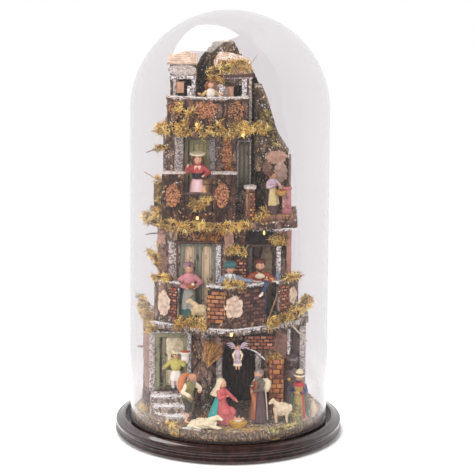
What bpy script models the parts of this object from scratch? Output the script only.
"""Nativity village of cork and moss on a turned wooden base, under a lift-off glass dome.

Sizes are metres, written as millimetres times MM. The origin is the centre of the base's
underside, +Z is up and the village faces -Y. Each storey stands on the one below, so the
levels follow from the storey heights, and what stands on a storey follows its level. Places
in plan are drawn for a ground disc of PLAN_RADIUS and follow the disc's real radius.
"""

import math
import random
from dataclasses import dataclass

import bmesh
import bpy
from mathutils import Matrix, Vector

MM = 0.001
GAP = 0.3 * MM                # air left between two pieces that touch
OVERCUT = 1.0 * MM            # how far a cutter runs past the face that it opens

# Ground disc and storeys
GROUND_RADIUS = 104.0 * MM
PLAN_RADIUS = 104.0
GROUND_THICKNESS = 12.0 * MM
SLAB_THICKNESS = 8.0 * MM
LOWER_HEIGHT = 100.0 * MM
MIDDLE_HEIGHT = 108.5 * MM
UPPER_HEIGHT = 93.5 * MM
TOWER_HEIGHT = 67.5 * MM
COTTAGE_HEIGHT = 53.5 * MM
CREST_HEIGHT = 84.0 * MM      # rock crest above the top floor
ROCK_DEPTH = 60.0 * MM
ROCK_CREST_DEPTH = 18.0 * MM
ROCK_SIDES = 12               # facets round the back of the rock, from edge to edge
ROCK_RAG = 0.86               # least share of its reach that a ragged corner keeps
FLANK_HEIGHT = 38.0 * MM      # rock on the right, above the top floor

# Glass dome
GLASS_CLEARANCE = 3.2 * MM    # between the ground disc and the glass
GLASS_WALL = 3.0 * MM
CROWN_RISE = 11.4 * MM        # the dome's sphere starts this far above the top floor
CROWN_RINGS = 7

# Turned wooden base
SEAT_LEVEL = 9.0 * MM         # floor of the channel that the glass stands in
SEAT_SLACK = 5.6 * MM         # room in the channel outside the glass
SEAT_PLAY = 1.7 * MM          # room in the channel inside the glass
RIM_WIDTH = 9.6 * MM
RIM_TOP = 19.6 * MM
RIM_FLAT = 2.2 * MM
BEAD_TOP = 16.4 * MM
BEAD_SWELL = 1.2 * MM
COVE_TOP = 12.6 * MM
COVE_DEPTH = 0.8 * MM
BELLY_TOP = 8.0 * MM
BELLY_SWELL = 2.2 * MM
PLINTH_TOP = 19.0 * MM
TURNED_SIDES = 40

# Battery lighting under the base
CELL_RADIUS = 5.25 * MM
CELL_LENGTH = 44.5 * MM
CELL_NUB_RADIUS = 1.9 * MM
CELL_NUB_LENGTH = 0.8 * MM
CELL_COUNT = 3
TRAY_WALL = 1.4 * MM
TRAY_Y = 26.0 * MM
COVER_THICKNESS = 2.0 * MM
COVER_LIFT = 0.6 * MM
COVER_LEDGE = 3.0 * MM
SWITCH_LENGTH = 15.0 * MM
SWITCH_WIDTH = 8.0 * MM
SWITCH_HEIGHT = 5.0 * MM
SWITCH_Y = -22.0 * MM
SWITCH_LIFT = 2.6 * MM
KNOB_LENGTH = 4.0 * MM
KNOB_WIDTH = 3.0 * MM
KNOB_TRAVEL = 4.0 * MM
KNOB_SUNK = 2.2 * MM
KNOB_REACH = 1.2 * MM
WIRE_RADIUS = 0.8 * MM
WIRE_HOLE_RADIUS = 2.0 * MM
WIRE_CHASE_DEPTH = 5.0 * MM
WIRE_BEND = 3.0 * MM
WIRE_END_BELOW_CREST = 46.0 * MM
BULB_RADIUS = 1.6 * MM
BULB_LENGTH = 4.2 * MM

# Figures, drawn for PERSON_HEIGHT
PERSON_HEIGHT = 64.0
ANGEL_DROP = 41.2 * MM        # from the stable's ceiling to the angel's hem

# Walls, doors and parapets
BACK_Y = 19.7                 # flat back of every storey, in plan
DOOR_THICKNESS = 3.2 * MM
DOOR_STILE = 4.0 * MM
DOOR_PANEL_DEPTH = 1.0 * MM
DOORWAY_REACH = 10.0 * MM     # how far a doorway's cutter starts before the wall
STABLE_HEIGHT = 84.0 * MM
STABLE_PIER_HEIGHT = 67.0 * MM
LANDING_HEIGHT = 25.5 * MM
STEP_COUNT = 3
STEP_DEPTH = 9.0 * MM
STEP_INSET = 2.0 * MM         # from the ground disc's edge to the steps
LOWER_DOOR_HEAD = 5.0 * MM    # wall left between a door's top and the ceiling
MIDDLE_DOOR_HEAD = 20.0 * MM
UPPER_DOOR_HEAD = 8.0 * MM
ROOM_HEAD = 27.0 * MM
SHUTTER_SILL = 33.0 * MM
SHUTTER_HEAD = 12.0 * MM
NICHE_HEIGHT = 47.0 * MM
TOWER_WINDOW_SILL = 6.0 * MM
TOWER_WINDOW_HEAD = 16.0 * MM
COTTAGE_ROOM_SILL = 3.0 * MM
COTTAGE_ROOM_HEAD = 10.0 * MM
PARAPET_HEIGHT = 48.5 * MM
PARAPET_THICKNESS = 6.0 * MM
PARAPET_INSET = 4.0 * MM      # from the slab's edge to the parapet's face
COPING_HEIGHT = 3.0 * MM
COPING_OVERHANG = 1.5 * MM
BALCONY_RAISE = 10.5 * MM
PIER_HEIGHT = 55.0 * MM
THIN_PIER_HEIGHT = 43.0 * MM
TERRACE_RAISE = 5.8 * MM
SNOW_PILLAR_HEIGHT = 38.0 * MM
TOP_PARAPET_HEIGHT = 34.0 * MM
RAIL_RADIUS = 1.1 * MM
RAIL_WANDER = 0.4 * MM
ROOF_RISE = 11.5 * MM
ROOF_EAVES = 3.5 * MM
ROOF_BOARD = 1.5 * MM
COTTAGE_ROOF_HEIGHT = 20.0 * MM

# Fronts of slabs and houses in plan, from left to right
LOWER_SLAB_FRONT = ((-92, -26), (-83, -43), (-60, -56), (-34, -67), (3, -75), (39, -59), (59, -50),
                    (78, -36), (89, -18))
UPPER_SLAB_FRONT = ((-90, -32), (-78, -50), (-50, -60), (8, -60), (30, -58), (75, -46))
TOP_SLAB_FRONT = ((-72, -34), (-63, -47), (-12, -51), (18, -45), (23.7, -34))
LOWER_HOUSE_FRONT = ((-96, -10), (-86, -27), (-40, -34), (66, -34), (86, -24))
MIDDLE_HOUSE_FRONT = ((-80, -22), (-62, -30), (22, -30), (69, -22))
UPPER_HOUSE_FRONT = ((-74, -14), (-60, -18), (23.7, -18))

# Plots in plan: left, right, front and back
STABLE_ROOM = (-12, 60, -28, 13)
STABLE_PIER = (45, 61, -52, -34.3)
STEPS = (-86, -40.3, -54, -35.1)
MIDDLE_ROOM = (24, 63, -32, 11)
CANOPY = (-58, 20, -39, -30.3)
CANOPY_COLUMN = (-4, 20, -39, -30.3)
BALCONY_BLOCK = (-74, 7, -53, -18.3)
RIGHT_TERRACE = (41, 70, -45, -18.3)
TERRACE_WING = (17, 42, -52, -42)
TERRACE_POST = (17, 28, -52, -42)
NICHE = (28, 54, -20, 8)
TOWER_BLOCK = (-66, -36, -22, BACK_Y)
COTTAGE_BLOCK = (-18, 23.7, -20, BACK_Y)
COTTAGE_ROOM = (-6, 15, -21, 8)

# Balcony piers: plot and height
BALCONY_PIERS = (((-74, -49, -55, -46), PIER_HEIGHT), ((-19, 7, -55, -46), PIER_HEIGHT),
                 ((-83, -73, -44, -35), THIN_PIER_HEIGHT))

# Rock silhouette: share of its height, left and right edges in plan
ROCK_EDGES = ((0.0, -80, 84), (0.12, -82, 80), (0.25, -76, 80), (0.4, -75, 70), (0.53, -70, 69),
              (0.66, -68, 65), (0.76, -64, 53), (0.84, -58, 45), (0.9, -50, 33), (0.95, -38, 20),
              (1.0, -22, 5))
FLANK_EDGES = ((0.0, 24.3, 67), (0.35, 24.3, 67.5), (0.48, 24.3, 66.5), (0.54, 24.3, 61), (0.62, 24.3, 54),
               (0.75, 24.3, 49), (0.9, 24.3, 42), (1.0, 24.3, 36))


@dataclass(frozen=True)
class Finish:
    """Plain colour of one sub-part, with how rough and metallic it is."""

    colour: tuple
    roughness: float = 0.8
    metallic: float = 0.0
    clear: float = 0.0


@dataclass(frozen=True)
class Storey:
    """One floor of the village: where it stands and how high its walls are."""

    floor: float
    height: float

    @property
    def ceiling(self):
        """Top of the storey's walls."""
        return self.floor + self.height

    def above(self):
        """Floor of the next storey, over the slab."""
        return self.ceiling + GAP + SLAB_THICKNESS + GAP


WOOD = Finish((0.055, 0.018, 0.012), 0.25)
CORK = Finish((0.16, 0.09, 0.05), 0.9)
BARK = Finish((0.075, 0.055, 0.045), 0.95)
STONE = Finish((0.2, 0.18, 0.15), 0.9)
BRICK = Finish((0.33, 0.1, 0.045), 0.9)
PLASTER = Finish((0.45, 0.36, 0.31), 0.9)
OLIVE = Finish((0.19, 0.19, 0.12), 0.7)
TILE = Finish((0.5, 0.28, 0.2), 0.85)
TWIG = Finish((0.12, 0.07, 0.04), 0.9)
GLASS = Finish((0.95, 0.95, 0.97), 0.03, 0.0, 1.0)
STEEL = Finish((0.6, 0.6, 0.6), 0.3, 1.0)
BLACK_PLASTIC = Finish((0.02, 0.02, 0.02), 0.5)
CELL_GREY = Finish((0.25, 0.25, 0.28), 0.4)
LAMP = Finish((1.0, 0.75, 0.35), 0.2)
ROSE = Finish((0.6, 0.12, 0.12), 0.5)
GOLD = Finish((0.7, 0.45, 0.12), 0.5)
BROWN = Finish((0.22, 0.12, 0.09), 0.6)
WOOL = Finish((0.75, 0.68, 0.55), 0.8)
LILAC = Finish((0.45, 0.33, 0.45), 0.6)
LIME = Finish((0.35, 0.38, 0.12), 0.6)
GREY_CLOTH = Finish((0.2, 0.22, 0.25), 0.6)
NAVY = Finish((0.06, 0.07, 0.15), 0.6)
TEAL = Finish((0.08, 0.3, 0.3), 0.6)
RED = Finish((0.5, 0.06, 0.05), 0.6)
CREAM = Finish((0.75, 0.68, 0.6), 0.6)

GROUND = PLINTH_TOP + GAP + GROUND_THICKNESS
LOWER = Storey(GROUND + GAP, LOWER_HEIGHT)
MIDDLE = Storey(LOWER.above(), MIDDLE_HEIGHT)
UPPER = Storey(MIDDLE.above(), UPPER_HEIGHT)
TOP_FLOOR = UPPER.above()
TOWER = Storey(TOP_FLOOR, TOWER_HEIGHT)
COTTAGE = Storey(TOP_FLOOR, COTTAGE_HEIGHT)
LANDING = LOWER.floor + LANDING_HEIGHT
BALCONY = UPPER.floor + BALCONY_RAISE
TERRACE = UPPER.floor + TERRACE_RAISE
CREST = TOP_FLOOR + CREST_HEIGHT
GLASS_INNER = GROUND_RADIUS + GLASS_CLEARANCE
GLASS_RADIUS = GLASS_INNER + GLASS_WALL
GLASS_SPRING = TOP_FLOOR + CROWN_RISE
COVER_TOP = COVER_LIFT + COVER_THICKNESS


def remove_everything():
    """Empties the scene."""
    for item in list(bpy.data.objects):
        bpy.data.objects.remove(item, do_unlink=True)


def plan(x, y):
    """Place on the ground plan in metres, from millimetres drawn for PLAN_RADIUS."""
    scale = GROUND_RADIUS / PLAN_RADIUS
    return (x * scale, y * scale)


def outline(front, back_y=BACK_Y):
    """Closed plan outline: the front from left to right, then a straight back."""
    points = [plan(x, y) for x, y in front]
    points.append(plan(front[-1][0], back_y))
    points.append(plan(front[0][0], back_y))
    return points


def principled(name, finish):
    """Makes the sub-part's own material."""
    material = bpy.data.materials.new(name)
    material.use_nodes = True
    shader = material.node_tree.nodes["Principled BSDF"]
    shader.inputs["Base Color"].default_value = (*finish.colour, 1.0)
    shader.inputs["Roughness"].default_value = finish.roughness
    shader.inputs["Metallic"].default_value = finish.metallic
    shader.inputs["Transmission Weight"].default_value = finish.clear
    return material


def add_node(name, mesh_data, finish, place=(0.0, 0.0, 0.0), turn=0.0, parent=None):
    """Turns a bmesh into one named object with its own material."""
    bmesh.ops.recalc_face_normals(mesh_data, faces=mesh_data.faces)
    mesh = bpy.data.meshes.new(name)
    mesh_data.to_mesh(mesh)
    mesh_data.free()
    mesh.materials.append(principled(name, finish))
    node = bpy.data.objects.new(name, mesh)
    node.location = place
    node.rotation_euler = (0.0, 0.0, turn)
    node.parent = parent
    bpy.context.collection.objects.link(node)
    return node


def smooth(node, angle=math.radians(40)):
    """Shades a round piece smooth, with its edges kept."""
    node.data.shade_smooth()
    node.data.set_sharp_from_angle(angle=angle)


def combine(node, tool_data, operation, overlapping=False):
    """Cuts, joins or trims a node with a tool that is hidden from renders."""
    bmesh.ops.recalc_face_normals(tool_data, faces=tool_data.faces)
    mesh = bpy.data.meshes.new(f"{node.name}_tool")
    tool_data.to_mesh(mesh)
    tool_data.free()
    tool = bpy.data.objects.new(mesh.name, mesh)
    tool.location = node.location
    tool.rotation_euler = node.rotation_euler
    tool.parent = node.parent
    tool.hide_render = True
    tool.display_type = "WIRE"
    bpy.context.collection.objects.link(tool)
    step = node.modifiers.new(operation.title(), "BOOLEAN")
    step.operation = operation
    step.object = tool
    step.solver = "EXACT"
    step.use_self = overlapping


def add_prism(data, points, bottom, top):
    """Adds a plan outline stood up between two levels."""
    low = [data.verts.new((x, y, bottom)) for x, y in points]
    high = [data.verts.new((x, y, top)) for x, y in points]
    data.faces.new(list(reversed(low)))
    data.faces.new(high)
    for index in range(len(points)):
        after = (index + 1) % len(points)
        data.faces.new((low[index], low[after], high[after], high[index]))
    return data


def prism(points, bottom, top):
    """A new mesh with one stood-up outline."""
    return add_prism(bmesh.new(), points, bottom, top)


def add_block(data, low, high):
    """Adds a box between two opposite corners."""
    points = [(low[0], low[1]), (high[0], low[1]), (high[0], high[1]), (low[0], high[1])]
    return add_prism(data, points, low[2], high[2])


def block(low, high):
    """A new mesh with one box."""
    return add_block(bmesh.new(), low, high)


def plan_block(left, right, front, back, bottom, top):
    """A box given by its edges in plan and two levels."""
    return block((*plan(left, front), bottom), (*plan(right, back), top))


def side_prism(profile, left, right):
    """A profile of (y, z) points drawn out from left to right."""
    data = prism([(y, z) for y, z in profile], left, right)
    turn = Matrix(((0, 0, 1, 0), (1, 0, 0, 0), (0, 1, 0, 0), (0, 0, 0, 1)))
    data.transform(turn)
    return data


def front_prism(profile, front, back):
    """A profile of (x, z) points drawn out from front to back."""
    data = prism([(x, z) for x, z in profile], front, back)
    turn = Matrix(((1, 0, 0, 0), (0, 0, 1, 0), (0, 1, 0, 0), (0, 0, 0, 1)))
    data.transform(turn)
    return data


def turned(profile, sides=TURNED_SIDES):
    """Spins a profile of (radius, z) points, which starts and ends on the axis."""
    data = bmesh.new()
    line = [data.verts.new((radius, 0.0, z)) for radius, z in profile]
    edges = [data.edges.new(pair) for pair in zip(line, line[1:])]
    bmesh.ops.spin(data, geom=line + edges, cent=(0, 0, 0), axis=(0, 0, 1), angle=math.tau, steps=sides,
                   use_merge=True)
    bmesh.ops.remove_doubles(data, verts=data.verts, dist=1e-6)
    return data


def disc_points(radius, sides=TURNED_SIDES):
    """Corners of a disc in plan."""
    return [(radius * math.cos(math.tau * n / sides), radius * math.sin(math.tau * n / sides))
            for n in range(sides)]


def arch_points(left, right, bottom, top, sides=8):
    """An opening with straight jambs and a round head, as (x, z) points."""
    middle = (left + right) / 2
    radius = (right - left) / 2
    spring = top - radius
    head = [(middle + radius * math.cos(math.pi * n / sides), spring + radius * math.sin(math.pi * n / sides))
            for n in range(sides + 1)]
    return [(left, bottom), (right, bottom), *head]


def front_y(front, x):
    """Where a slab's front lies at one x, in plan."""
    for (x0, y0), (x1, y1) in zip(front, front[1:]):
        if x0 <= x <= x1:
            return y0 + (y1 - y0) * (x - x0) / (x1 - x0)
    raise ValueError(f"{x} lies beyond the slab's front")


def front_path(front, start, end, inset):
    """Stretch of a slab's front between two x values, moved back by the inset."""
    inner = [(x, y) for x, y in front if start < x < end]
    points = [(start, front_y(front, start)), *inner, (end, front_y(front, end))]
    return [Vector((*plan(x, y), 0.0)) + Vector((0.0, inset, 0.0)) for x, y in points]


def swept_wall(path, profile):
    """Draws a profile of (outward, z) points along a path in plan, with mitred corners."""
    data = bmesh.new()
    heads = [(after - before).normalized() for before, after in zip(path, path[1:])]
    outward = [Vector((head.y, -head.x, 0.0)) for head in heads]
    rings = []
    for index, point in enumerate(path):
        before = outward[max(index - 1, 0)]
        after = outward[min(index, len(outward) - 1)]
        mitre = (before + after) / (1.0 + before.dot(after))
        rings.append([data.verts.new(point + mitre * out + Vector((0, 0, z))) for out, z in profile])
    count = len(profile)
    for before, after in zip(rings, rings[1:]):
        for corner in range(count):
            other = (corner + 1) % count
            data.faces.new((before[corner], before[other], after[other], after[corner]))
    data.faces.new(rings[0])
    data.faces.new(list(reversed(rings[-1])))
    return data


def coped_profile(bottom, top):
    """Section of a parapet: a wall under a coping that reaches past both faces."""
    under = top - COPING_HEIGHT
    back = -PARAPET_THICKNESS
    return [(0.0, bottom), (0.0, under), (COPING_OVERHANG, under), (COPING_OVERHANG, top),
            (back - COPING_OVERHANG, top), (back - COPING_OVERHANG, under), (back, under), (back, bottom)]


class Clay:
    """A modelled figure in millimetres: one lofted core with limbs and balls pressed onto it."""

    def __init__(self):
        self.core = bmesh.new()
        self.extra = bmesh.new()

    def rings(self, data, rings, sides):
        """Skins level ovals of (z, half x, half y, centre x, centre y)."""
        loops = []
        for z, half_x, half_y, centre_x, centre_y in rings:
            loops.append([data.verts.new((centre_x + half_x * math.cos(math.tau * n / sides),
                                          centre_y + half_y * math.sin(math.tau * n / sides), z))
                          for n in range(sides)])
        for low, high in zip(loops, loops[1:]):
            for n in range(sides):
                after = (n + 1) % sides
                data.faces.new((low[n], low[after], high[after], high[n]))
        data.faces.new(list(reversed(loops[0])))
        data.faces.new(loops[-1])

    def body(self, *rings, sides=8):
        """The core, from the ground up."""
        self.rings(self.core, rings, sides)
        return self

    def ball(self, centre, radii, sides=7, levels=4):
        """An oval lump."""
        place = Matrix.Translation(centre) @ Matrix.Diagonal((*radii, 1.0))
        bmesh.ops.create_uvsphere(self.extra, u_segments=sides, v_segments=levels, radius=1.0, matrix=place)
        return self

    def limb(self, start, end, thick, thin, sides=5):
        """A tapered arm, leg or stick between two points."""
        start, end = Vector(start), Vector(end)
        along = end - start
        aim = along.to_track_quat("Z", "Y").to_matrix().to_4x4()
        place = Matrix.Translation((start + end) / 2) @ aim
        bmesh.ops.create_cone(self.extra, cap_ends=True, segments=sides, radius1=thick, radius2=thin,
                              depth=along.length, matrix=place)
        return self

    def arm(self, shoulder, elbow, hand, thick=2.5):
        """A sleeve from shoulder to elbow, a forearm and a hand."""
        self.limb(shoulder, elbow, thick, thick * 0.95)
        self.ball(elbow, (thick, thick, thick), 5, 3)
        self.limb(elbow, hand, thick * 0.85, thick * 0.5)
        return self.ball(hand, (1.5, 1.5, 1.5), 5, 3)

    def person(self, height, hem, hands, lean=0.0, waist=5.4):
        """A robed body with a head and two arms, drawn for a height of PERSON_HEIGHT.

        The hands are places for the figure's own left and right as seen from the front; a lean
        moves the shoulders sideways by that many millimetres.
        """
        scale = height / PERSON_HEIGHT
        rows = ((0, hem, hem * 0.82), (16, hem * 0.92, hem * 0.74), (31, waist * 1.2, waist),
                (38, waist, waist * 0.84), (46, 6.9, 4.9), (51, 6.2, 4.2), (54, 2.9, 2.7), (57, 2.3, 2.3))
        self.body(*[(z * scale, half_x * scale, half_y * scale, lean * z / 57, 0.0)
                    for z, half_x, half_y in rows])
        self.ball((lean, -0.8 * scale, 59 * scale), (3.8 * scale, 4.3 * scale, 4.9 * scale))
        for side, hand in zip((-1, 1), hands):
            shoulder = Vector((lean + side * 5.4 * scale, 0.0, 49.5 * scale))
            reach = Vector(hand) - shoulder
            elbow = shoulder + reach * 0.5 + Vector((side * 2.2, 1.2, -3.6)) * scale
            self.arm(shoulder, elbow, hand, 2.4 * scale)
        return self

    def stand(self, name, finish, x, y, floor, turn=0.0):
        """Makes the figure one node that stands at a place in plan, on a level."""
        for data in (self.core, self.extra):
            data.transform(Matrix.Scale(MM, 4))
        node = add_node(name, self.core, finish, (*plan(x, y), floor), math.radians(turn))
        if self.extra.verts:
            combine(node, self.extra, "UNION", overlapping=True)
        else:
            self.extra.free()
        smooth(node, math.radians(60))
        return node


def add_base():
    """Turned base with a channel for the glass and pockets for the batteries and the switch."""
    inner = GROUND_RADIUS + SEAT_PLAY - GAP
    outer = GLASS_RADIUS + SEAT_SLACK
    edge = outer + RIM_WIDTH
    belly = [(edge + BELLY_SWELL * math.sin(math.pi * n / 6), BELLY_TOP * n / 6) for n in range(7)]
    bead = [(edge + BEAD_SWELL * math.sin(math.pi * n / 4), COVE_TOP + (BEAD_TOP - COVE_TOP) * n / 4)
            for n in range(5)]
    profile = [(0, 0), *belly, (edge - COVE_DEPTH, (BELLY_TOP + COVE_TOP) / 2), *bead,
               (outer + RIM_FLAT, RIM_TOP), (outer, RIM_TOP), (outer, SEAT_LEVEL), (inner, SEAT_LEVEL),
               (inner, PLINTH_TOP), (0, PLINTH_TOP)]
    base = add_node("wooden_base", turned(profile), WOOD)
    half_x, half_y, roof = tray_half_x(), tray_half_y(), tray_roof()
    pocket = block((-half_x - GAP, TRAY_Y - half_y - GAP, -OVERCUT),
                   (half_x + GAP, TRAY_Y + half_y + GAP, roof + GAP))
    combine(base, pocket, "DIFFERENCE")
    rebate_x = half_x + COVER_LEDGE + GAP
    rebate_y = half_y + COVER_LEDGE + GAP
    rebate = block((-rebate_x, TRAY_Y - rebate_y, -OVERCUT), (rebate_x, TRAY_Y + rebate_y, COVER_TOP + GAP))
    combine(base, rebate, "DIFFERENCE")
    switch_x = SWITCH_LENGTH / 2 + GAP
    switch_y = SWITCH_WIDTH / 2 + GAP
    recess = block((-switch_x, SWITCH_Y - switch_y, -OVERCUT),
                   (switch_x, SWITCH_Y + switch_y, SWITCH_LIFT + SWITCH_HEIGHT + GAP))
    combine(base, recess, "DIFFERENCE")
    wire_y = wire_y_at(GROUND)
    chase = block((-WIRE_HOLE_RADIUS, SWITCH_Y, -OVERCUT), (WIRE_HOLE_RADIUS, wire_y, WIRE_CHASE_DEPTH))
    combine(base, chase, "DIFFERENCE")
    combine(base, wire_hole(-OVERCUT, PLINTH_TOP + OVERCUT), "DIFFERENCE")
    smooth(base, math.radians(25))


def wire_hole(bottom, top):
    """Cutter for the upright hole that the lamp wire rises through."""
    y = wire_y_at(GROUND)
    points = [(px, py + y) for px, py in disc_points(WIRE_HOLE_RADIUS, 12)]
    return prism(points, bottom, top)


def tray_half_x():
    """Half of the battery tray's length."""
    return CELL_LENGTH / 2 + CELL_NUB_LENGTH + GAP + TRAY_WALL


def tray_half_y():
    """Half of the battery tray's width."""
    return CELL_COUNT * CELL_RADIUS + (CELL_COUNT + 1) / 2 * GAP + TRAY_WALL


def tray_roof():
    """Top of the battery tray."""
    return COVER_TOP + GAP + 2 * CELL_RADIUS + GAP + TRAY_WALL


def add_lighting():
    """Battery tray, cells, hinged cover, switch, wire and bulbs."""
    half_x, half_y, roof = tray_half_x(), tray_half_y(), tray_roof()
    shell = block((-half_x, TRAY_Y - half_y, COVER_TOP + GAP), (half_x, TRAY_Y + half_y, roof))
    tray = add_node("battery_tray", shell, BLACK_PLASTIC)
    hollow = block((TRAY_WALL - half_x, TRAY_Y - half_y + TRAY_WALL, 0),
                   (half_x - TRAY_WALL, TRAY_Y + half_y - TRAY_WALL, roof - TRAY_WALL))
    combine(tray, hollow, "DIFFERENCE")
    for index in range(CELL_COUNT):
        add_cell(index)
    add_cover(half_x + COVER_LEDGE, half_y + COVER_LEDGE)
    add_switch()
    add_wire()


def add_cell(index):
    """One battery cell, lying along X, with its nub at alternate ends."""
    half = CELL_LENGTH / 2
    profile = [(0, -half), (CELL_RADIUS, -half), (CELL_RADIUS, half), (CELL_NUB_RADIUS, half),
               (CELL_NUB_RADIUS, half + CELL_NUB_LENGTH), (0, half + CELL_NUB_LENGTH)]
    data = turned(profile, 16)
    data.transform(Matrix.Rotation(math.radians(90 if index % 2 else -90), 4, "Y"))
    y = TRAY_Y + (index - (CELL_COUNT - 1) / 2) * (2 * CELL_RADIUS + GAP)
    cell = add_node(f"battery_cell_{index + 1}", data, CELL_GREY, (0, y, COVER_TOP + GAP + CELL_RADIUS))
    smooth(cell)


def add_cover(half_x, half_y):
    """Battery cover, hinged on the round barrel along its rear edge."""
    radius = COVER_THICKNESS / 2
    hinge = bpy.data.objects.new("battery_cover_hinge", None)
    hinge.location = (0, TRAY_Y + half_y - radius, COVER_LIFT + radius)
    bpy.context.collection.objects.link(hinge)
    barrel = [(radius * math.sin(math.pi * n / 8), -radius * math.cos(math.pi * n / 8)) for n in range(9)]
    front = -2 * half_y + radius
    profile = [(front, -radius), *barrel, (front, radius)]
    add_node("battery_cover", side_prism(profile, -half_x, half_x), BLACK_PLASTIC, parent=hinge)


def add_switch():
    """Slide switch in the underside: a body with a slot, and the knob that travels in it."""
    half_x, half_y = SWITCH_LENGTH / 2, SWITCH_WIDTH / 2
    body = add_node("switch_body", block((-half_x, -half_y, 0), (half_x, half_y, SWITCH_HEIGHT)),
                    BLACK_PLASTIC, (0, SWITCH_Y, SWITCH_LIFT))
    slot_x = (KNOB_LENGTH + KNOB_TRAVEL) / 2 + GAP
    slot_y = KNOB_WIDTH / 2 + GAP
    combine(body, block((-slot_x, -slot_y, -OVERCUT), (slot_x, slot_y, KNOB_SUNK + GAP)), "DIFFERENCE")
    knob = block((-KNOB_LENGTH / 2, -KNOB_WIDTH / 2, -KNOB_REACH),
                 (KNOB_LENGTH / 2, KNOB_WIDTH / 2, KNOB_SUNK))
    add_node("switch_knob", knob, STEEL, (-KNOB_TRAVEL / 2, SWITCH_Y, SWITCH_LIFT))


def rock_depth(share):
    """How far the rock reaches back at a share of its height."""
    return ROCK_DEPTH - (ROCK_DEPTH - ROCK_CREST_DEPTH) * share ** 2.4


def wire_y_at(level):
    """Where the lamp wire lies behind the rock at a level."""
    share = max(0.0, (level - GROUND) / (CREST - GROUND))
    return plan(0, BACK_Y)[1] + GAP + rock_depth(share) + GAP + WIRE_RADIUS


def add_wire():
    """Lamp wire: along the chase under the base, up through the hole and up the rock's back."""
    low = WIRE_CHASE_DEPTH - WIRE_RADIUS - GAP
    rise = wire_y_at(GROUND)
    start = TRAY_Y + tray_half_y() + COVER_LEDGE + 2 * GAP
    route = [(start, low)]
    for n in range(5):
        angle = math.pi * n / 8
        route.append((rise - WIRE_BEND + WIRE_BEND * math.sin(angle),
                      low + WIRE_BEND - WIRE_BEND * math.cos(angle)))
    end = CREST - WIRE_END_BELOW_CREST
    steps = 40
    levels = [GROUND + (end - GROUND) * n / steps for n in range(steps + 1)]
    route += [(wire_y_at(level), level) for level in levels]
    curve = bpy.data.curves.new("lamp_wire", "CURVE")
    curve.dimensions = "3D"
    curve.bevel_depth = WIRE_RADIUS
    curve.bevel_resolution = 1
    curve.use_fill_caps = True
    spline = curve.splines.new("POLY")
    spline.points.add(len(route) - 1)
    for point, (y, z) in zip(spline.points, route):
        point.co = (0.0, y, z, 1.0)
    curve.materials.append(principled("lamp_wire", Finish((0.05, 0.09, 0.04), 0.6)))
    wire = bpy.data.objects.new("lamp_wire", curve)
    bpy.context.collection.objects.link(wire)


def add_bulb(name, x, y, z):
    """A grain-of-wheat bulb that points forward, with a rounded tip; x is in plan."""
    half = BULB_LENGTH / 2
    tip = [(BULB_RADIUS * math.cos(math.pi * n / 6), half + BULB_RADIUS * math.sin(math.pi * n / 6))
           for n in range(4)]
    data = turned([(0, -half), (BULB_RADIUS, -half), *tip[:-1], (0, half + BULB_RADIUS)], 8)
    data.transform(Matrix.Rotation(math.radians(90), 4, "X"))
    smooth(add_node(name, data, LAMP, (plan(x, 0)[0], y, z)))


def add_dome():
    """Glass dome: straight wall and half sphere, open below."""
    bottom = SEAT_LEVEL + GAP
    quarter = [math.pi / 2 * n / CROWN_RINGS for n in range(CROWN_RINGS)]
    outer = [(GLASS_RADIUS * math.sin(a), GLASS_SPRING + GLASS_RADIUS * math.cos(a)) for a in quarter]
    inner = [(GLASS_INNER * math.sin(a), GLASS_SPRING + GLASS_INNER * math.cos(a)) for a in quarter]
    profile = [*outer, (GLASS_RADIUS, GLASS_SPRING), (GLASS_RADIUS, bottom), (GLASS_INNER, bottom),
               (GLASS_INNER, GLASS_SPRING), *reversed(inner)]
    dome = add_node("glass_dome", turned(profile), GLASS)
    smooth(dome)


def add_ground():
    """Cork ground disc, with the hole for the lamp wire."""
    ground = add_node("ground_disc", prism(disc_points(GROUND_RADIUS), PLINTH_TOP + GAP, GROUND), CORK)
    combine(ground, wire_hole(PLINTH_TOP, GROUND + OVERCUT), "DIFFERENCE")


def add_rock():
    """Bark mountain behind the houses, flat in front and ragged behind."""
    chance = random.Random(4)
    data = bmesh.new()
    front = plan(0, BACK_Y)[1] + GAP
    loops = []
    for share, left, right in ROCK_EDGES:
        left, right = plan(left, right)
        depth = rock_depth(share)
        level = GROUND + GAP + (CREST - GROUND - GAP) * share
        loop = []
        for n in range(ROCK_SIDES + 1):
            angle = math.pi * n / ROCK_SIDES
            reach = left if n > ROCK_SIDES / 2 else right
            rag = 1.0 if n in (0, ROCK_SIDES // 2, ROCK_SIDES) else chance.uniform(ROCK_RAG, 1.0)
            x = abs(reach) * math.cos(angle) * rag
            loop.append(data.verts.new((x, front + depth * math.sin(angle) * rag, level)))
        loops.append(loop)
    count = ROCK_SIDES + 1
    for low, high in zip(loops, loops[1:]):
        for n in range(count):
            after = (n + 1) % count
            data.faces.new((low[n], low[after], high[after], high[n]))
    data.faces.new(list(reversed(loops[0])))
    data.faces.new(loops[-1])
    add_node("rock_back", data, BARK)


def add_slab(name, front, level, finish):
    """Floor slab over a storey."""
    return add_node(name, prism(outline(front), level, level + SLAB_THICKNESS), finish)


def add_door(name, left, right, back, bottom, top, finish=OLIVE):
    """Door leaf with a sunk panel between its stiles and rails; edges are in metres."""
    data = block((left, back - DOOR_THICKNESS, bottom), (right, back, top))
    bmesh.ops.recalc_face_normals(data, faces=data.faces)
    face = min(data.faces, key=lambda item: item.calc_center_median().y)
    bmesh.ops.inset_individual(data, faces=[face], thickness=DOOR_STILE, depth=-DOOR_PANEL_DEPTH)
    return add_node(name, data, finish)


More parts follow.
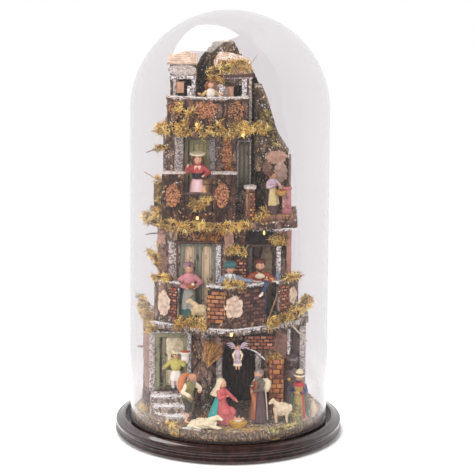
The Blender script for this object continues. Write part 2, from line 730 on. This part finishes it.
def doorway(house, left, right, front, bottom, top):
    """Cuts a shallow recess for a door and returns its edges in metres with the recess's back."""
    left, face = plan(left, front)
    right = plan(right, front)[0]
    back = face + DOOR_THICKNESS + GAP
    cutter = block((left, face - DOORWAY_REACH, bottom - OVERCUT), (right, back, top))
    combine(house, cutter, "DIFFERENCE")
    return left + GAP, right - GAP, back - GAP


def add_lower_storey():
    """Stable and porter's house, the landing, the pillar and the pier."""
    house = add_node("lower_house", prism(outline(LOWER_HOUSE_FRONT), LOWER.floor, LOWER.ceiling), BARK)
    room = plan_block(*STABLE_ROOM, LOWER.floor - OVERCUT, LOWER.floor + STABLE_HEIGHT)
    combine(house, room, "DIFFERENCE")
    front = plan(0, STABLE_ROOM[2])[1]
    arch_left, face = plan(-6, -34)
    arch_right = plan(30, 0)[0]
    arch = arch_points(arch_left, arch_right, LOWER.floor - OVERCUT, LOWER.floor + STABLE_HEIGHT)
    combine(house, front_prism(arch, face - OVERCUT, front + OVERCUT), "DIFFERENCE")
    top = LOWER.ceiling - LOWER_DOOR_HEAD
    door_left, door_right, door_back = doorway(house, -74, -44, -31, LANDING + OVERCUT, top)
    add_door("lower_door", door_left, door_right, door_back, LANDING + GAP, top - GAP)
    add_steps()
    add_pillar()
    pier = plan_block(*STABLE_PIER, LOWER.floor, LOWER.floor + STABLE_PIER_HEIGHT)
    add_node("brick_pier", pier, BRICK)
    add_slab("lower_slab", LOWER_SLAB_FRONT, LOWER.ceiling + GAP, STONE)


def add_steps():
    """Stone steps up to the landing before the porter's door, trimmed to the ground disc."""
    left, right, front, rear = STEPS
    left, back = plan(left, rear)
    right, edge = plan(right, front)
    rise = LANDING_HEIGHT / STEP_COUNT
    profile = [(back, LOWER.floor)]
    for step in range(STEP_COUNT):
        front = edge - STEP_DEPTH * (STEP_COUNT - 1 - step)
        level = LOWER.floor + rise * step
        profile += [(front, level), (front, level + rise)]
    profile.append((back, LANDING))
    steps = add_node("stone_steps", side_prism(profile, left, right), STONE)
    trim = prism(disc_points(GROUND_RADIUS - STEP_INSET), GROUND, LANDING + OVERCUT)
    combine(steps, trim, "INTERSECT")


def add_pillar():
    """Knobbly bark pillar between the stable and the steps."""
    chance = random.Random(9)
    clay = Clay()
    levels = 7
    rings = []
    for n in range(levels):
        swell = chance.uniform(0.85, 1.0)
        rings.append((LOWER_HEIGHT / MM * n / (levels - 1), 9.0 * swell, 7.0 * swell, 0.0, 0.0))
    clay.body(*rings, sides=9)
    clay.stand("bark_pillar", BARK, -24, -42, LOWER.floor)


def add_middle_storey():
    """First-floor house with its double door, the room on the right and the parapets."""
    shell = prism(outline(MIDDLE_HOUSE_FRONT), MIDDLE.floor, MIDDLE.ceiling)
    house = add_node("middle_house", shell, PLASTER)
    door_top = MIDDLE.ceiling - MIDDLE_DOOR_HEAD
    left, right, back = doorway(house, -54, -15, -30, MIDDLE.floor, door_top)
    middle = (left + right) / 2
    add_door("double_door_left", left, middle - GAP / 2, back, MIDDLE.floor + GAP, door_top - GAP)
    add_door("double_door_right", middle + GAP / 2, right, back, MIDDLE.floor + GAP, door_top - GAP)
    room = plan_block(*MIDDLE_ROOM, MIDDLE.floor - OVERCUT, MIDDLE.ceiling - ROOM_HEAD)
    combine(house, room, "DIFFERENCE")
    canopy = plan_block(*CANOPY, door_top, MIDDLE.ceiling)
    column = plan_block(*CANOPY_COLUMN, MIDDLE.floor, door_top + OVERCUT)
    porch = add_node("door_canopy", canopy, BRICK)
    combine(porch, column, "UNION")
    bottom, top = MIDDLE.floor, MIDDLE.floor + PARAPET_HEIGHT
    for name, start, end, finish in (("parapet_left", -83, -55, PLASTER),
                                     ("parapet_centre", -24, 41, BRICK),
                                     ("parapet_right", 54, 77, PLASTER)):
        path = front_path(LOWER_SLAB_FRONT, start, end, PARAPET_INSET)
        add_node(name, swept_wall(path, coped_profile(bottom, top)), finish)
    add_slab("upper_slab", UPPER_SLAB_FRONT, MIDDLE.ceiling + GAP, BARK)


def add_upper_storey():
    """Second-floor house, the balcony with its piers, and the terrace on the right."""
    house = add_node("upper_house", prism(outline(UPPER_HOUSE_FRONT), UPPER.floor, UPPER.ceiling), PLASTER)
    top = UPPER.ceiling - UPPER_DOOR_HEAD
    left, right, back = doorway(house, -45, -23, -18, BALCONY, top)
    add_door("green_door", left, right, back, BALCONY + GAP, top - GAP)
    shutter_left, face = plan(9, -18)
    shutter_right = plan(22, 0)[0]
    add_door("tall_shutter", shutter_left, shutter_right, face - GAP, UPPER.floor + SHUTTER_SILL,
             UPPER.ceiling - SHUTTER_HEAD)
    add_balcony()
    terrace = add_node("right_terrace", plan_block(*RIGHT_TERRACE, UPPER.floor, TERRACE), PLASTER)
    wing = plan_block(*TERRACE_WING, UPPER.floor, TERRACE)
    post = plan_block(*TERRACE_POST, UPPER.floor, UPPER.floor + SNOW_PILLAR_HEIGHT)
    combine(terrace, wing, "UNION")
    combine(terrace, post, "UNION")
    add_right_rock()
    add_slab("top_slab", TOP_SLAB_FRONT, UPPER.ceiling + GAP, BARK)


def add_balcony():
    """Balcony block with the two brick piers and the thin one at its left end."""
    balcony = add_node("balcony", plan_block(*BALCONY_BLOCK, UPPER.floor, BALCONY), BRICK)
    for plot, height in BALCONY_PIERS:
        combine(balcony, plan_block(*plot, UPPER.floor, UPPER.floor + height), "UNION")


def add_right_rock():
    """Rock on the right of the two upper floors, hollowed into a niche."""
    height = TOP_FLOOR - UPPER.floor + FLANK_HEIGHT
    data = bmesh.new()
    rings = []
    for share, left, right in FLANK_EDGES:
        front = -18 + 12 * share ** 2
        corners = ((left, front + 3), (left + 4, front), (right - 6, front), (right, front + 7),
                   (right, BACK_Y), (left, BACK_Y))
        level = UPPER.floor + share * height
        rings.append([data.verts.new((*plan(x, y), level)) for x, y in corners])
    for low, high in zip(rings, rings[1:]):
        for n in range(6):
            after = (n + 1) % 6
            data.faces.new((low[n], low[after], high[after], high[n]))
    data.faces.new(list(reversed(rings[0])))
    data.faces.new(rings[-1])
    rock = add_node("right_rock", data, BARK)
    niche = plan_block(*NICHE, UPPER.floor - OVERCUT, UPPER.floor + NICHE_HEIGHT)
    combine(rock, niche, "DIFFERENCE")


def add_top_storey():
    """Tower and cottage with their roofs, the parapet and the twig rail on it."""
    tower = add_node("tower", plan_block(*TOWER_BLOCK, TOWER.floor, TOWER.ceiling), STONE)
    window_left, face = plan(-57, TOWER_BLOCK[2])
    window_right = plan(-42, 0)[0]
    window = arch_points(window_left, window_right, TOWER.floor + TOWER_WINDOW_SILL,
                         TOWER.ceiling - TOWER_WINDOW_HEAD)
    combine(tower, front_prism(window, face - OVERCUT, plan(0, 4)[1]), "DIFFERENCE")
    add_tower_roof(*TOWER_BLOCK)
    cottage = add_node("cottage", plan_block(*COTTAGE_BLOCK, COTTAGE.floor, COTTAGE.ceiling), STONE)
    room = plan_block(*COTTAGE_ROOM, COTTAGE.floor + COTTAGE_ROOM_SILL,
                      COTTAGE.ceiling - COTTAGE_ROOM_HEAD)
    combine(cottage, room, "DIFFERENCE")
    add_cottage_roof(*COTTAGE_BLOCK)
    bottom, top = TOP_FLOOR, TOP_FLOOR + TOP_PARAPET_HEIGHT
    path = front_path(TOP_SLAB_FRONT, -70, 21, PARAPET_INSET)
    add_node("top_parapet", swept_wall(path, coped_profile(bottom, top)), BRICK)
    add_twig_rail(path, top)


def add_tower_roof(left, right, front, rear):
    """Four-sided tiled roof with its eaves past the tower's walls."""
    x0, y0 = plan(left, front)
    x1, y1 = plan(right, rear)
    x0, x1, y0 = x0 - ROOF_EAVES, x1 + ROOF_EAVES, y0 - ROOF_EAVES
    centre = ((x0 + x1) / 2, (y0 + y1) / 2)
    low = TOWER.ceiling + GAP
    data = bmesh.new()
    corners = [(x0, y0), (x1, y0), (x1, y1), (x0, y1)]
    foot = [data.verts.new((x, y, low)) for x, y in corners]
    edge = [data.verts.new((x, y, low + ROOF_BOARD)) for x, y in corners]
    peak = data.verts.new((*centre, low + ROOF_RISE))
    data.faces.new(list(reversed(foot)))
    for n in range(4):
        after = (n + 1) % 4
        data.faces.new((foot[n], foot[after], edge[after], edge[n]))
        data.faces.new((edge[n], edge[after], peak))
    add_node("tower_roof", data, TILE)


def add_cottage_roof(left, right, front, rear):
    """Mossy lean roof over the cottage, highest on its left."""
    x0, y0 = plan(left, front)
    x1, y1 = plan(right, rear)
    low = COTTAGE.ceiling + GAP
    profile = [(x0 - ROOF_BOARD, low), (x1, low), (x1, low + 0.55 * COTTAGE_ROOF_HEIGHT),
               ((x0 + x1) / 2, low + 0.9 * COTTAGE_ROOF_HEIGHT), (x0 + 5 * MM, low + COTTAGE_ROOF_HEIGHT),
               (x0 - ROOF_BOARD, low + 0.5 * COTTAGE_ROOF_HEIGHT)]
    add_node("cottage_roof", front_prism(profile, y0 - ROOF_EAVES, y1), BARK)


def add_twig_rail(path, top):
    """Twig that lies along the top parapet's coping, with a slight wander."""
    lift = top + GAP + RAIL_RADIUS
    middle = -PARAPET_THICKNESS / 2
    curve = bpy.data.curves.new("twig_rail", "CURVE")
    curve.dimensions = "3D"
    curve.bevel_depth = RAIL_RADIUS
    curve.bevel_resolution = 1
    curve.use_fill_caps = True
    spline = curve.splines.new("POLY")
    spline.points.add(len(path) - 1)
    for index, (point, place) in enumerate(zip(spline.points, path)):
        wander = RAIL_WANDER * (index % 2)
        point.co = (place.x, place.y - middle, lift + wander, 1.0)
    curve.materials.append(principled("twig_rail", TWIG))
    rail = bpy.data.objects.new("twig_rail", curve)
    bpy.context.collection.objects.link(rail)


def add_lower_figures():
    """Family, angel, kings, shepherd, porter and animals around the stable."""
    floor = LOWER.floor
    mary = Clay().body((0, 15, 10.5, 0, 0), (9, 13.5, 9.5, 0, 0), (18, 10, 8, -1, 0), (27, 7.4, 6, -1, 0),
                       (34, 7.4, 5.4, 0, 0), (38, 5.8, 4.2, 0, 0), (40, 3.0, 2.8, 0.5, 0),
                       (42, 2.6, 2.6, 0.5, 0))
    mary.ball((0.6, -1, 44.4), (5.0, 5.2, 5.6))
    mary.arm((5, -1, 34), (9, -5, 28), (16, -6, 27))
    mary.arm((-5.5, -1, 34), (-7.5, -6, 26), (0, -9.5, 26))
    mary.stand("mary", ROSE, -8, -63, floor)
    manger = Clay().body((0, 6.2, 4.4, 0, 0), (4.5, 7.8, 5.4, 0, 0), (7.5, 7.4, 5.0, 0, 0),
                         (9.0, 4.6, 3.0, 0, 0))
    manger.ball((-1.5, 0, 9.6), (4.8, 2.2, 2.0)).ball((4.4, 0, 10.6), (2.2, 2.2, 2.2))
    manger.stand("manger", GOLD, 11, -83, floor, -6)
    joseph = Clay().person(59.5, 9.4, ((-9, -7, 34), (4, -8, 31)), -2.0)
    joseph.ball((7.5, 1.5, 39), (5.8, 5.0, 8.5))
    joseph.stand("joseph", BROWN, 34, -59, floor)
    sheep("standing_sheep", 57.5, -64, floor)
    lying = Clay().body((0, 16, 6.0, -2, 0), (4, 17.5, 6.6, -2, 0), (9, 14, 5.4, -2, 0), (12, 8, 3.2, 0, 0))
    lying.limb((8, 0, 8), (13.5, -1, 12.5), 3.4, 2.8).ball((16.0, -1.5, 13.0), (4.6, 2.8, 3.2))
    lying.stand("lying_sheep", WOOL, -24, -90.5, floor)
    add_angel()
    porter = Clay().person(48, 6.8, ((-10, -5, 25), (9, -1.5, 38)), -1.0)
    porter.ball((9.5, 0, 42), (6.4, 5.0, 7.0))
    porter.stand("porter", LIME, -58, -44.5, LANDING + GAP)
    shepherd = Clay().person(62, 7.4, ((-8, -5, 32), (12, -5, 40)), 4.0)
    shepherd.ball((-7.5, 1, 48), (7.4, 4.6, 7.0)).ball((11.5, -4, 44), (3.4, 2.8, 3.0))
    shepherd.stand("old_shepherd", BROWN, -44, -80.5, floor)
    dark_king = Clay().person(71, 4.4, ((-4.0, -6, 38), (3.0, -6.5, 40)), 0.0, 3.4)
    dark_king.ball((0, 0, 70), (4.8, 4.8, 2.8))
    dark_king.stand("dark_king", GREY_CLOTH, 71.5, -41.5, floor)
    king = Clay().person(56, 7.8, ((-8, -6, 33), (5, -7, 31)))
    king.ball((0, 0, 55.5), (5.2, 5.2, 2.8))
    king.stand("turbaned_king", NAVY, 78, -53.5, floor)


def sheep(name, x, y, floor):
    """Sheep on four legs, looking left."""
    clay = Clay()
    clay.body((10, 7.5, 3.4, 0, 0), (12.5, 10.5, 4.8, 0, 0), (16.5, 11.2, 5.0, 0, 0), (20, 9.6, 4.2, 0, 0),
              (21.8, 5.0, 2.2, 0, 0))
    for side_x in (-7, 7):
        for side_y in (-2.5, 2.5):
            clay.limb((side_x, side_y, 0), (side_x, side_y, 13), 1.2, 1.8)
    clay.limb((-8, 0, 18), (-10, 0, 23), 3.2, 2.6).ball((-10.6, 0, 24), (3.2, 2.4, 2.8))
    clay.stand(name, WOOL, x, y, floor)


def add_angel():
    """Angel that hangs by a hook from the underside of the lower slab."""
    floor = LOWER.ceiling - ANGEL_DROP
    hook_top = (LOWER.ceiling - floor) / MM
    angel = Clay().body((2, 1.5, 1.5, 0, 0), (8, 4.6, 3.4, 0, 0), (18, 4.2, 3.2, 0, 0), (23, 4.8, 3.2, 0, 0),
                        (26, 2.4, 2.2, 0, 0))
    angel.ball((0, -1, 29), (3.1, 3.3, 3.6))
    for side in (-1, 1):
        angel.limb((side * 3.0, 0.5, 21), (side * 10.0, 2.0, 27.5), 2.6, 1.0)
        angel.arm((side * 4.0, 0, 22), (side * 6.5, -3, 18), (side * 9.0, -4, 21), 1.7)
    angel.limb((0, 2.4, 22), (0, 2.4, hook_top), 0.7, 0.7)
    angel.stand("angel", LILAC, 10, -66, floor)


def add_middle_figures():
    """People and a goat on the lower slab's terrace."""
    floor = MIDDLE.floor
    woman = Clay().person(67, 8.4, ((-8, -5.5, 43), (9, -8, 40)))
    woman.ball((0, -6, 42), (6.8, 3.4, 2.8))
    woman.stand("bread_woman", LILAC, -43.6, -41.5, floor)
    goat = Clay().body((12, 7.5, 2.8, 0, 0), (15, 9.6, 4.0, 0, 0), (20, 9.6, 3.8, 0, 0), (23, 6.0, 2.4, 0, 0))
    for side_x in (-7.0, 7.0):
        for side_y in (-1.8, 1.8):
            goat.limb((side_x, side_y, 0), (side_x, side_y, 14), 1.1, 1.6)
    goat.limb((-7, 0, 19), (-9.0, 0, 31), 2.9, 2.0).ball((-9.6, -0.5, 32.5), (3.2, 2.9, 2.7))
    goat.stand("goat", WOOL, -33.5, -59.5, floor)
    teal_man = Clay().person(72, 7.4, ((-8, -4, 46), (17, -1, 54)))
    teal_man.stand("teal_capped_man", TEAL, 1, -50.5, floor)
    red_man = Clay().person(71, 7.6, ((-10, -6, 47), (10, -6, 49)))
    red_man.stand("red_capped_man", RED, 34, -38.5, floor)


def add_upper_figures():
    """Women on the balcony, the right terrace and the top floor."""
    tray_woman = Clay().person(62, 7.0, ((-10, -6, 41), (8, -7, 38)))
    tray_woman.limb((0, -0.5, 60.5), (0, -0.5, 64.5), 3.4, 6.0, 8)
    tray_woman.stand("balcony_woman", RED, -35, -42.5, BALCONY + GAP)
    basket_woman = Clay().person(47, 6.8, ((-7, -5, 29), (8, -5, 28)))
    basket_woman.ball((7, -5, 25), (4.6, 3.4, 4.2))
    basket_woman.stand("basket_woman", CREAM, 46, -34, TERRACE + GAP)
    top_woman = Clay().person(52, 6.0, ((-11, -4, 36), (11, -4, 38)))
    top_woman.stand("top_floor_woman", CREAM, -21, -31.5, TOP_FLOOR)


def add_bulbs():
    """Lamps, each seated on the edge or wall behind it."""
    reach = BULB_LENGTH / 2 + GAP
    slope = 0.4 * MM
    for name, x, face, level in (
            ("lamp_stable", 3, front_y(LOWER_SLAB_FRONT, 3), LOWER.ceiling + SLAB_THICKNESS / 2),
            ("lamp_balcony", -35, -53, UPPER.floor + 5 * MM),
            ("lamp_top_right", 14, front_y(TOP_SLAB_FRONT, 14), UPPER.ceiling + SLAB_THICKNESS / 2)):
        add_bulb(name, x, plan(0, face)[1] - reach - slope, level)
    face = plan(0, front_y(TOP_SLAB_FRONT, -36))[1] + PARAPET_INSET
    add_bulb("lamp_top_left", -36, face - reach, TOP_FLOOR + 6 * MM)


def main():
    """Builds the whole ornament."""
    remove_everything()
    add_base()
    add_lighting()
    add_dome()
    add_ground()
    add_rock()
    add_lower_storey()
    add_middle_storey()
    add_upper_storey()
    add_top_storey()
    add_lower_figures()
    add_middle_figures()
    add_upper_figures()
    add_bulbs()


main()
